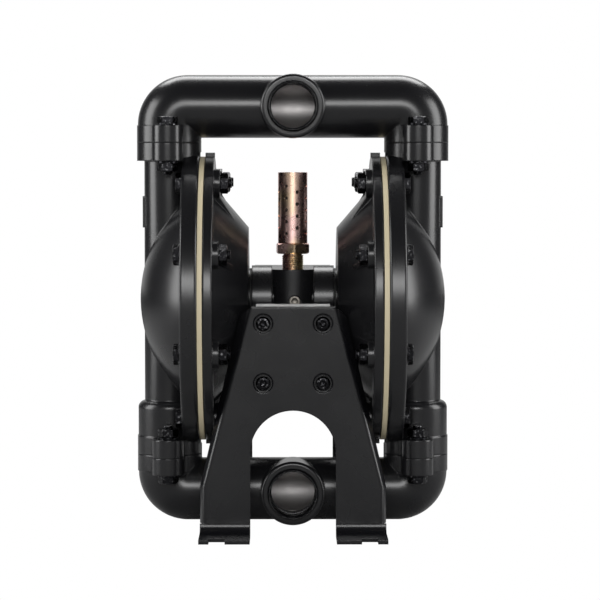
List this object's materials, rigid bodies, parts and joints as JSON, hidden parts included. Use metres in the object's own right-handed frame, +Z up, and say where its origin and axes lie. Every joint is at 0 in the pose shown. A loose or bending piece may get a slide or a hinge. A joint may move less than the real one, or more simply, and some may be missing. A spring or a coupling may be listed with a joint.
{
  "type": "air operated diaphragm pump",
  "caption": "Upright double diaphragm pump with front facing inlet and outlet ports, domed covers, bent sheet feet and a small exhaust muffler.",
  "frame": {"origin": "centre of the bounding box footprint, on the floor under the feet", "axes": "+Z up, -Y towards the viewer and out of both ports, +X to the viewer's right along the pump shaft"},
  "size_m": [0.3, 0.28, 0.4348],
  "materials": {
    "cast_paint": "satin black paint over cast aluminium",
    "sheet_paint": "satin black paint over bent steel sheet",
    "black_steel": "black oxide steel fastener",
    "plain_steel": "plain machined steel",
    "plated_steel": "yellow passivated zinc on steel",
    "disc_rubber": "tan moulded rubber",
    "seal_rubber": "black sealing rubber",
    "plate_metal": "machined aluminium plate",
    "valve_plastic": "moulded valve plastic",
    "ball_plastic": "white fluoropolymer check ball",
    "bush_bronze": "sintered bronze bush",
    "felt": "pressed silencer felt"
  },
  "bodies": {
    "pump_frame": {"air_cover_screws": "black_steel", "body_plug": "plain_steel", "center_body": "cast_paint", "cover_bolts": "black_steel", "cover_nuts": "black_steel", "front_support": "sheet_paint", "left_air_cover": "cast_paint", "left_diaphragm": "disc_rubber", "left_end_gasket": "seal_rubber", "left_fluid_cover": "cast_paint", "left_pilot_seal": "seal_rubber", "left_shaft_bush": "bush_bronze", "left_shaft_seal": "seal_rubber", "left_valve_cap": "cast_paint", "lower_left_o_ring": "seal_rubber", "lower_left_seat": "plate_metal", "lower_manifold": "cast_paint", "lower_right_o_ring": "seal_rubber", "lower_right_seat": "plate_metal", "manifold_bolts": "black_steel", "manifold_nuts": "black_steel", "manifold_washers": "black_steel", "muffler_base": "plated_steel", "muffler_cap": "plated_steel", "muffler_element": "felt", "muffler_tube": "plated_steel", "rear_support": "sheet_paint", "right_air_cover": "cast_paint", "right_diaphragm": "disc_rubber", "right_end_gasket": "seal_rubber", "right_fluid_cover": "cast_paint", "right_pilot_seal": "seal_rubber", "right_shaft_bush": "bush_bronze", "right_shaft_seal": "seal_rubber", "right_valve_cap": "cast_paint", "support_screws": "black_steel", "upper_left_o_ring": "seal_rubber", "upper_left_seat": "plate_metal", "upper_manifold": "cast_paint", "upper_right_o_ring": "seal_rubber", "upper_right_seat": "plate_metal", "valve_block": "cast_paint", "valve_block_screws": "black_steel", "valve_cap_screws": "black_steel", "valve_gasket": "seal_rubber", "valve_sleeve": "plate_metal"},
    "shaft_assembly": {"shaft": "plain_steel", "left_inner_plate": "plate_metal", "left_outer_plate": "plate_metal", "left_plate_screw": "plain_steel", "right_inner_plate": "plate_metal", "right_outer_plate": "plate_metal", "right_plate_screw": "plain_steel"},
    "pilot": {"pilot_rod": "plain_steel"},
    "valve_spool": {"spool": "plain_steel"},
    "upper_left_check": {"upper_left_ball": "ball_plastic"},
    "upper_right_check": {"upper_right_ball": "ball_plastic"},
    "lower_left_check": {"lower_left_ball": "ball_plastic"},
    "lower_right_check": {"lower_right_ball": "ball_plastic"}
  },
  "joints": [
    {"name": "shaft_slide", "type": "slide", "parent": "pump_frame", "child": "shaft_assembly", "axis": [1, 0, 0], "range_m": [-0.012, 0.012], "deforming": ["left_diaphragm", "right_diaphragm"]},
    {"name": "pilot_slide", "type": "slide", "parent": "pump_frame", "child": "pilot", "axis": [1, 0, 0], "range_m": [-0.003, 0.003]},
    {"name": "spool_slide", "type": "slide", "parent": "pump_frame", "child": "valve_spool", "axis": [1, 0, 0], "range_m": [0, 0.01]},
    {"name": "upper_left_lift", "type": "slide", "parent": "pump_frame", "child": "upper_left_check", "axis": [0, 0, 1], "range_m": [0, 0.009]},
    {"name": "upper_right_lift", "type": "slide", "parent": "pump_frame", "child": "upper_right_check", "axis": [0, 0, 1], "range_m": [0, 0.009]},
    {"name": "lower_left_lift", "type": "slide", "parent": "pump_frame", "child": "lower_left_check", "axis": [0, 0, 1], "range_m": [0, 0.009]},
    {"name": "lower_right_lift", "type": "slide", "parent": "pump_frame", "child": "lower_right_check", "axis": [0, 0, 1], "range_m": [0, 0.009]}
  ],
  "couplings": [
    {"joint": "pilot_slide", "follows": "shaft_slide", "ratio": 0.25}
  ]
}
